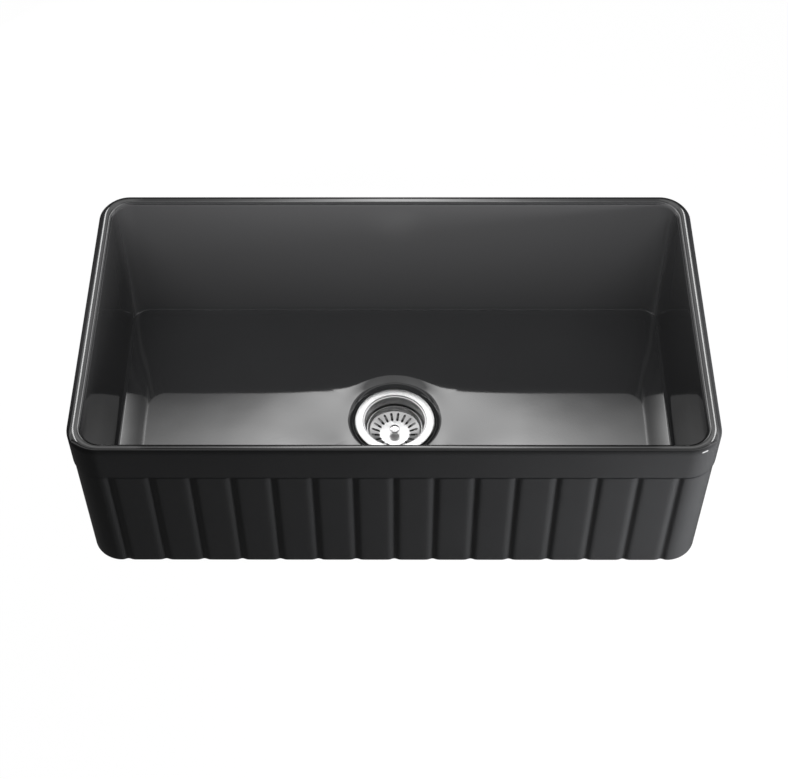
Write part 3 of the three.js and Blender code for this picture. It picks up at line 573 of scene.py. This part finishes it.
def dish_profile():
    """Radius and level of the dish's upper face, from the stem's hole to the top of its wall."""
    corners = [(DISH_HOLE, DISH_PLATE), (23, DISH_PLATE, 3), (38.5, DISH_PLATE + 5, 3), (39.6, DISH_RIM)]
    return softened(corners, 6)


def level_at(profile, radius):
    for inner, outer in zip(profile, profile[1:]):
        if inner.x <= radius <= outer.x:
            return inner.y + (outer.y - inner.y) * (radius - inner.x) / (outer.x - inner.x)
    return profile[-1].y


def slotted_profile():
    """The profile with a point at each end of the slots and at steps along their rounded ends."""
    profile = dish_profile()
    ends = [0, 0.3, SLOT_HALF]
    marks = [SLOT_START + e for e in ends] + [SLOT_END - e for e in reversed(ends)]
    middle = [SLOT_START + (SLOT_END - SLOT_START) * i / 6 for i in range(1, 6)]
    radii = sorted(marks + middle)
    kept = [p for p in profile if not SLOT_START - 0.3 < p.x < SLOT_END + 0.3]
    kept += [Vector((r, level_at(profile, r))) for r in radii]
    return sorted(kept, key=lambda p: (p.x, p.y))


def slot_half_width(radius):
    """Half the slot's width at a radius; its two ends are half round."""
    from_end = min(radius - SLOT_START, SLOT_END - radius)
    if from_end >= SLOT_HALF or from_end < 0:
        return SLOT_HALF
    return math.sqrt(max(0.05, SLOT_HALF ** 2 - (SLOT_HALF - from_end) ** 2))


def basket_dish_mesh():
    bm = bmesh.new()
    profile = slotted_profile()
    verts = [bm.verts.new((p.x, 0, p.y)) for p in profile]
    edges = [bm.edges.new(pair) for pair in zip(verts, verts[1:])]
    bmesh.ops.spin(bm, geom=verts + edges, cent=(0, 0, 0), axis=(0, 0, 1), dvec=(0, 0, 0),
                   angle=2 * math.pi, steps=SLOT_COUNT * DISH_COLUMNS, use_merge=True, use_duplicate=False)
    bmesh.ops.remove_doubles(bm, verts=bm.verts, dist=0.001)
    pitch = 2 * math.pi / SLOT_COUNT
    column = pitch / DISH_COLUMNS
    cut = []
    for face in bm.faces:
        middle = face.calc_center_median()
        radius = middle.xy.length
        turn = (math.atan2(middle.y, middle.x) % pitch) / column
        if SLOT_START < radius < SLOT_END and turn < 1:
            cut.append(face)
    for vert in bm.verts:
        radius = vert.co.xy.length
        if SLOT_START - 0.01 < radius < SLOT_END + 0.01:
            angle = math.atan2(vert.co.y, vert.co.x)
            slot = math.floor(angle / pitch + 1e-4)
            place = round((angle - slot * pitch) / column)
            half = slot_half_width(radius) / radius
            centre = slot * pitch + column / 2
            if place in (0, 1):
                moved = centre + (half if place else -half)
            else:
                rest = (pitch - 2 * half) / (DISH_COLUMNS - 1)
                moved = centre + half + rest * (place - 1)
            vert.co.x = radius * math.cos(moved)
            vert.co.y = radius * math.sin(moved)
    bmesh.ops.delete(bm, geom=cut, context="FACES")
    bmesh.ops.recalc_face_normals(bm, faces=bm.faces)
    if sum(face.normal.z for face in bm.faces) < 0:
        bmesh.ops.reverse_faces(bm, faces=bm.faces)
    bmesh.ops.solidify(bm, geom=bm.faces, thickness=DISH_SHEET)
    to_front = Matrix.Rotation(pitch / 2 - column / 2, 3, "Z")
    bmesh.ops.rotate(bm, verts=bm.verts, cent=(0, 0, 0), matrix=to_front)
    angles = [math.pi * i / 8 for i in range(16)]
    bead = [(DISH_RIM_RADIUS - 1 + math.cos(a), DISH_RIM - 1 + math.sin(a)) for a in angles]
    spun(bm, bead, 120)
    return bm


polished_steel = turned_metal("polished_steel", (0.86, 0.86, 0.86), 0.12)
waste_piece("basket_strainer_dish", basket_dish_mesh(), satin_steel, "basket_dish", "basket",
            math.radians(50))

knob_mesh = bmesh.new()
spun(knob_mesh, [
    (STEM_RADIUS, KNOB_FOOT), (4.4, KNOB_FOOT, 0.7), (3.3, KNOB_FOOT + 2.8, 1.2), (3.5, KNOB_TOP - 4, 0.8),
    (7.4, KNOB_TOP - 2.8, 0.8), (7.4, KNOB_TOP - 0.3, 1.0), (0, KNOB_TOP), (0, STEM_TOP),
    (STEM_RADIUS, STEM_TOP),
], 64, 6)
waste_piece("basket_knob_turned", knob_mesh, polished_steel, "basket_knob", "basket")


def moulded_rubber():
    finish = Finish("black_moulded_rubber", IOR=1.5)
    bloom = finish.noise(90, 4)
    tone = finish.blend(bloom, (0.014, 0.014, 0.014), (0.026, 0.026, 0.025))
    return finish.shade(Base_Color=tone, Roughness=finish.between(bloom, 0.55, 0.78),
                        Normal=finish.bump(finish.noise(900), 0.00005, 0.5))


black_rubber = moulded_rubber()
stopper_mesh = bmesh.new()
spun(stopper_mesh, [
    (STEM_RADIUS, STOPPER_FOOT), (STOPPER_RADIUS - 3, STOPPER_FOOT),
    (STOPPER_RADIUS - 3, STOPPER_FOOT - 1.5, 0.4), (STOPPER_RADIUS, STOPPER_FOOT - 1.5, 0.5),
    (STOPPER_RADIUS, STOPPER_FOOT + 2, 0.8), (STOPPER_RADIUS - 3, STOPPER_FOOT + 4, 0.8),
    (STEM_RADIUS, STOPPER_FOOT + 4),
])
waste_piece("stopper_seal_moulded", stopper_mesh, black_rubber, "stopper_seal", "basket")


# ---------------------------------------------------------------- gasket, outlet, tail pipe and union nut
# Under the sink a rubber gasket and a flanged pot moulded in white plastic are drawn up by the centre
# screw. The tail pipe is held against the pot's threaded outlet by a ribbed union nut.
GASKET_TOP = -30.6
GASKET_RADIUS = 55.9
GASKET_BORE = 48
BODY_TOP = -34.9
BODY_INNER = 46.9
BODY_OUTER = 49.9
FUNNEL_TOP = -72.9
FUNNEL_FOOT = -87.9
OUTLET_BORE = 19.5
OUTLET_RADIUS = 23.5
OUTLET_END = -109.9
BOSS_TOP = -61.4
BOSS_FOOT = -68.9
BOSS_RADIUS = 10.3
BOSS_BORE = 7.7
BOSS_ARM_START = 9.6
BOSS_ARM_LENGTH = 38.3
BOSS_ARM_WIDTH = 3
GUSSET_SIZE = (6.4, 2.4, 14)
GUSSET_RADIUS = 51.7
GUSSET_LEVEL = BODY_TOP - 9
GUSSET_TOE = BODY_TOP - 6
TAIL_TOP = -113.0
TAIL_END = -175.0
TAIL_BORE = 17.5
TAIL_RADIUS = 19.7
TAIL_COLLAR = 2.5
NUT_FOOT = -118.8
NUT_HEIGHT = 20
NUT_RADIUS = 27.4
NUT_BORE = 20.1
NUT_LIP = 3
NUT_THREAD = 23.9
LUG_COUNT = 12
LUG_SIZE = (3.9, 4, NUT_HEIGHT - 6)
LUG_EDGE = 0.7


def moulded_plastic():
    finish = Finish("white_moulded_plastic", IOR=1.46)
    flow = finish.noise(35, 3)
    tone = finish.blend(flow, (0.74, 0.74, 0.70), (0.80, 0.80, 0.77))
    return finish.shade(Base_Color=tone, Roughness=finish.between(flow, 0.38, 0.50),
                        Normal=finish.bump(finish.noise(500), 0.00004, 0.4))


white_plastic = moulded_plastic()

gasket_mesh = bmesh.new()
spun(gasket_mesh, [
    (GASKET_BORE, GASKET_TOP - 4), (GASKET_RADIUS, GASKET_TOP - 4, 0.6), (GASKET_RADIUS, GASKET_TOP, 0.6),
    (GASKET_BORE, GASKET_TOP),
])
waste_piece("lower_gasket_moulded", gasket_mesh, black_rubber, "lower_gasket", "sink")

pot_mesh = bmesh.new()
spun(pot_mesh, [
    (OUTLET_BORE, OUTLET_END), (OUTLET_RADIUS, OUTLET_END, 0.5), (OUTLET_RADIUS, FUNNEL_FOOT - 1.5, 2),
    (BODY_OUTER, FUNNEL_TOP - 1.5, 4), (BODY_OUTER, BODY_TOP - 4, 1), (GASKET_RADIUS, BODY_TOP - 4, 0.8),
    (GASKET_RADIUS, BODY_TOP, 0.5), (BODY_INNER, BODY_TOP, 0.5), (BODY_INNER, FUNNEL_TOP, 3),
    (OUTLET_BORE, FUNNEL_FOOT, 3),
])
spun(pot_mesh, [
    (BOSS_RADIUS, BOSS_FOOT, 0.4), (BOSS_RADIUS, BOSS_TOP, 0.4), (BOSS_BORE, BOSS_TOP),
    (BOSS_BORE, BOSS_FOOT),
], 48)
for arm in range(4):
    height = BOSS_TOP - BOSS_FOOT
    middle = (BOSS_ARM_START + BOSS_ARM_LENGTH / 2, 0, BOSS_FOOT + height / 2)
    bar(pot_mesh, (BOSS_ARM_LENGTH, BOSS_ARM_WIDTH, height), middle, math.radians(45 + 90 * arm))
for gusset in range(8):
    rib = bar(pot_mesh, GUSSET_SIZE, (GUSSET_RADIUS, 0, GUSSET_LEVEL), 0)
    for vert in rib:
        if vert.co.x > GUSSET_RADIUS and vert.co.z < GUSSET_LEVEL:
            vert.co.z = GUSSET_TOE
    turn = Matrix.Rotation(math.radians(45 * gusset), 3, "Z")
    bmesh.ops.rotate(pot_mesh, verts=rib, cent=(0, 0, 0), matrix=turn)
waste_piece("outlet_pot_moulded", pot_mesh, white_plastic, "outlet_body", "sink")

pipe_mesh = bmesh.new()
spun(pipe_mesh, [
    (TAIL_BORE, TAIL_END), (TAIL_RADIUS, TAIL_END, 0.5), (TAIL_RADIUS, TAIL_TOP - TAIL_COLLAR, 0.6),
    (OUTLET_RADIUS, TAIL_TOP - TAIL_COLLAR, 0.4), (OUTLET_RADIUS, TAIL_TOP, 0.4), (TAIL_BORE, TAIL_TOP),
])
waste_piece("tail_pipe_drawn", pipe_mesh, white_plastic, "tail_pipe", "sink")

nut_mesh = bmesh.new()
spun(nut_mesh, [
    (NUT_BORE, NUT_FOOT), (NUT_RADIUS, NUT_FOOT, 1.5), (NUT_RADIUS, NUT_FOOT + NUT_HEIGHT, 1.5),
    (NUT_THREAD, NUT_FOOT + NUT_HEIGHT), (NUT_THREAD, NUT_FOOT + NUT_LIP), (NUT_BORE, NUT_FOOT + NUT_LIP),
])
for lug in range(LUG_COUNT):
    middle = (NUT_RADIUS + 0.25, 0, NUT_FOOT + NUT_HEIGHT / 2)
    grip = bar(nut_mesh, LUG_SIZE, middle, math.radians(30 * lug))
    corners = {edge for vert in grip for edge in vert.link_edges}
    bmesh.ops.bevel(nut_mesh, geom=list(corners), offset=LUG_EDGE, segments=3, profile=0.5, affect="EDGES",
                    material=-1)
waste_piece("union_nut_ribbed", nut_mesh, white_plastic, "union_nut", "sink")


# ---------------------------------------------------------------- small pieces that keep their own solids
# Screw, washers, insert, stem, nut and catch are simple turned or pressed pieces, so each keeps its solid
# and gets the finish of its stock: drawn steel, machined brass, pressed fibre, rubber or moulded plastic.
def pressed_fibre():
    finish = Finish("pressed_fibre", IOR=1.45)
    strands = finish.noise(700, 5)
    tone = finish.blend(strands, (0.20, 0.16, 0.12), (0.30, 0.25, 0.19))
    return finish.shade(Base_Color=tone, Roughness=finish.between(strands, 0.75, 0.92),
                        Normal=finish.bump(strands, 0.0001, 0.5))


drawn_steel = turned_metal("drawn_stainless_steel", (0.72, 0.72, 0.72), 0.32)
machined_brass = turned_metal("machined_brass", (0.72, 0.52, 0.22), 0.24)
small_finishes = {
    "centre_screw": drawn_steel,
    "basket_stem": drawn_steel,
    "backing_plate": satin_steel,
    "stem_washer": drawn_steel,
    "stem_nut": machined_brass,
    "threaded_insert": machined_brass,
    "flange_seal": black_rubber,
    "coupling_washer": black_rubber,
    "screw_washer": pressed_fibre(),
    "stem_catch": white_plastic,
}
for name, material in small_finishes.items():
    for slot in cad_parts[name].material_slots:
        slot.material = material


# ---------------------------------------------------------------- camera
# The photograph looks down on the sink from the front, a little right of its middle.
PHOTO_WIDTH = 788
FOCAL_PIXELS = 1629
CAMERA_PLACE = Vector((0.008, -1.449, RIM_TOP + 1.688))
CAMERA_PITCH = math.radians(51.94)
CAMERA_YAW = math.radians(-0.35)
CAMERA_ROLL = math.radians(-0.25)


def photo_camera():
    data = bpy.data.cameras.new("photo_camera")
    data.sensor_width = 36
    data.lens = FOCAL_PIXELS * data.sensor_width / PHOTO_WIDTH
    data.clip_end = 50
    camera = bpy.data.objects.new("photo_camera", data)
    level = Vector((math.sin(CAMERA_YAW), math.cos(CAMERA_YAW), 0))
    right = Vector((math.cos(CAMERA_YAW), -math.sin(CAMERA_YAW), 0))
    ahead = level * math.cos(CAMERA_PITCH) - Vector((0, 0, math.sin(CAMERA_PITCH)))
    up = level * math.sin(CAMERA_PITCH) + Vector((0, 0, math.cos(CAMERA_PITCH)))
    turned_right = right * math.cos(CAMERA_ROLL) + up * math.sin(CAMERA_ROLL)
    turned_up = up * math.cos(CAMERA_ROLL) - right * math.sin(CAMERA_ROLL)
    axes = Matrix((turned_right, turned_up, -ahead)).transposed().to_4x4()
    camera.matrix_world = Matrix.Translation(CAMERA_PLACE) @ axes
    bpy.context.scene.collection.objects.link(camera)
    bpy.context.scene.camera = camera


photo_camera()


# ---------------------------------------------------------------- floor and light
# A pale studio floor lies below the tail pipe, and the surround is white to the camera. Glaze and steel
# mirror a light panel behind the sink instead. Softboxes above, at the right and behind give the light.
FLOOR_GAP = 0.002
FLOOR_SIZE = 12.0
FLOOR_PAINT = 0.5
FLOOR_GLOW_SHARE = 0.97
FLOOR_GLOW = 1.02
FLOOR_GLOW_IN_GLOSS = 0.05
SKY = 0.15
SKY_IN_GLOSS = 0.05
PANEL_FOOT = math.radians(42)
PANEL_MIDDLE_HEIGHT = math.radians(52.2)
PANEL_BRIGHTEST = math.radians(53.9)
PANEL_DIMMING = math.radians(54.6)
PANEL_FADED = math.radians(57.2)
PANEL_TOP = math.radians(66)
PANEL_EDGE_LIGHT = 0.45
PANEL_CENTRE_LIGHT = 3.1
PANEL_CENTRE = 0.065
PANEL_FALL = 0.043
PANEL_LOW_SHARE = 0.6
PANEL_HIGH_SHARE = 2.7
PANEL_FADED_SHARE = 0.18
PANEL_IN_CORE = 0.6
CORE_LIGHT = 5.5
CORE_SPREAD = 0.045
FOOT_BLEND = 0.05
TOP_BLEND = 0.15
WING_BLEND = 0.004
CEILING_BLEND = 0.14
WING_START = 0.158
WING_LIGHT = 0.8
CEILING_START = math.radians(76)
CEILING_END = math.radians(104)
CEILING_LIGHT = 0.9
END_PANEL_OUT = 0.017
END_PANEL_Y = 0.045
END_PANEL_UP = 0.06
ALMOST_UP = Vector((0, 0.001, 1))


def by_ray(finish, camera, glossy, rest):
    """A value that camera and transmission rays, glossy rays and all others each see differently."""
    path = finish.add("ShaderNodeLightPath").outputs
    seen = finish.add("ShaderNodeMath", {0: path["Is Camera Ray"], 1: path["Is Transmission Ray"]},
                      operation="MAXIMUM").outputs[0]
    plain = finish.between(seen, rest, camera)
    mix = finish.add("ShaderNodeMix", {"Factor": path["Is Glossy Ray"], "A": plain})
    if isinstance(glossy, float):
        mix.inputs["B"].default_value = glossy
    else:
        finish.tree.links.new(glossy, mix.inputs["B"])
    return mix.outputs["Result"]


def studio_floor():
    bm = bmesh.new()
    bmesh.ops.create_grid(bm, x_segments=1, y_segments=1, size=FLOOR_SIZE / 2)
    bmesh.ops.translate(bm, verts=bm.verts, vec=(0, 0, cad_box[0][2] - FLOOR_GAP))
    finish = Finish("studio_floor")
    paint = finish.add("ShaderNodeBsdfDiffuse", Color=(FLOOR_PAINT, FLOOR_PAINT, FLOOR_PAINT, 1))
    strength = by_ray(finish, FLOOR_GLOW, FLOOR_GLOW_IN_GLOSS, 0.0)
    glow = finish.add("ShaderNodeEmission", {"Strength": strength}, Color=(1, 1, 1, 1))
    share = by_ray(finish, FLOOR_GLOW_SHARE, 1.0, 0.0)
    mix = finish.add("ShaderNodeMixShader", {0: share, 1: paint.outputs[0], 2: glow.outputs[0]})
    finish.tree.links.new(mix.outputs[0], finish.surface)
    finish.material.cycles.emission_sampling = "NONE"
    finished("studio_floor", bm, finish.material)


class Surround(Finish):
    def __init__(self):
        self.world = bpy.data.worlds.new("white_surround")
        bpy.context.scene.world = self.world
        self.world.use_nodes = True
        self.tree = self.world.node_tree
        self.background = self.tree.nodes["Background"]


def white_surround():
    """White to the camera; glaze and steel mirror a wide light panel behind the sink and a dim ceiling."""
    sky = Surround()
    direction = sky.add("ShaderNodeTexCoord").outputs["Generated"]
    parts = sky.add("ShaderNodeSeparateXYZ", {0: direction}).outputs
    squares = sky.math("ADD", sky.math("POWER", parts["Y"], 2), sky.math("POWER", parts["Z"], 2))
    out = sky.math("SQRT", squares)
    across = sky.math("ABSOLUTE", sky.math("DIVIDE", parts["X"], out))
    height = sky.math("ARCTAN2", parts["Z"], parts["Y"])
    beyond = sky.math("MAXIMUM", sky.math("SUBTRACT", across, PANEL_CENTRE), 0.0)
    fall = sky.math("EXPONENT", sky.math("DIVIDE", beyond, -PANEL_FALL))
    light = sky.between(fall, PANEL_EDGE_LIGHT, PANEL_CENTRE_LIGHT)
    climb = sky.between(height, PANEL_LOW_SHARE, PANEL_HIGH_SHARE, PANEL_MIDDLE_HEIGHT, PANEL_BRIGHTEST)
    dim = sky.between(height, 1, PANEL_FADED_SHARE, PANEL_DIMMING, PANEL_FADED)
    foot = sky.between(height, 0, 1, PANEL_FOOT - FOOT_BLEND, PANEL_FOOT)
    top = sky.between(height, 1, 0, PANEL_TOP, PANEL_TOP + TOP_BLEND)
    on = sky.math("MULTIPLY", foot, top)
    spread = sky.math("POWER", sky.math("DIVIDE", across, CORE_SPREAD), 2)
    core = sky.math("EXPONENT", sky.math("MULTIPLY", spread, -1.0))
    low = sky.between(height, CORE_LIGHT, 0, PANEL_MIDDLE_HEIGHT, PANEL_BRIGHTEST)
    wide = sky.math("MULTIPLY", sky.math("MULTIPLY", light, climb), sky.between(core, 1, PANEL_IN_CORE))
    panel = sky.math("ADD", sky.math("MULTIPLY", wide, dim), sky.math("MULTIPLY", core, low))
    wing = sky.between(across, 0, WING_LIGHT, WING_START, WING_START + WING_BLEND)
    behind = sky.math("MULTIPLY", sky.math("ADD", panel, wing), on)
    near_side = sky.between(height, 0, CEILING_LIGHT, CEILING_START, CEILING_START + CEILING_BLEND)
    far_side = sky.between(height, 1, 0, CEILING_END - CEILING_BLEND, CEILING_END)
    ceiling = sky.math("MULTIPLY", near_side, far_side)
    lit = sky.math("ADD", behind, sky.math("ADD", ceiling, SKY_IN_GLOSS))
    strength = by_ray(sky, 1.0, lit, SKY)
    sky.tree.links.new(strength, sky.background.inputs["Strength"])
    sky.background.inputs["Color"].default_value = (1, 1, 1, 1)
    sky.world.cycles.sampling_method = "NONE"


def lamp(name, place, aim, width, height, power, spread=180):
    data = bpy.data.lights.new(name, "AREA")
    data.shape = "RECTANGLE"
    data.size = width
    data.size_y = height
    data.energy = power
    data.spread = math.radians(spread)
    holder = bpy.data.objects.new(name, data)
    holder.location = place
    holder.rotation_euler = (Vector(aim) - Vector(place)).to_track_quat("-Z", "Y").to_euler()
    bpy.context.scene.collection.objects.link(holder)
    return holder


def softbox(name, **values):
    """Light without a mirror image of its own; the glaze would show it as a hard white patch."""
    lamp(name, **values).visible_glossy = False


def glint(name, place, aim, width, height, brightness):
    """A panel that glaze and metal mirror, but that adds no light to the object."""
    panel = lamp(name, place, aim, width, height, brightness * math.pi * width * height)
    panel.visible_diffuse = False
    panel.visible_camera = False


studio_floor()
white_surround()
softbox("bowl_light", place=(0.0, -0.22, 0.62), aim=(0.0, 0.20, 0.15), width=1.3, height=0.06, power=4.2,
        spread=85)
softbox("apron_light", place=(1.0, -0.45, 0.2), aim=(0.2, -0.23, 0.12), width=0.15, height=0.3, power=43)
softbox("rear_light", place=(-0.9, 1.0, 0.1), aim=(-0.1, 0.2, 0.12), width=0.3, height=0.3, power=14)
for side in (-1, 1):
    above_rim = Vector((side * (HALF_WIDTH + END_PANEL_OUT), END_PANEL_Y, RIM_TOP + END_PANEL_UP))
    glint("end_panel", place=above_rim, aim=above_rim - ALMOST_UP, width=0.014, height=0.46, brightness=9)
glint("corner_panel", place=(0.85, -0.615, 0.195), aim=(0.4, -0.225, 0.255), width=0.19, height=0.3,
      brightness=12)

bpy.context.scene.view_settings.view_transform = "Standard"
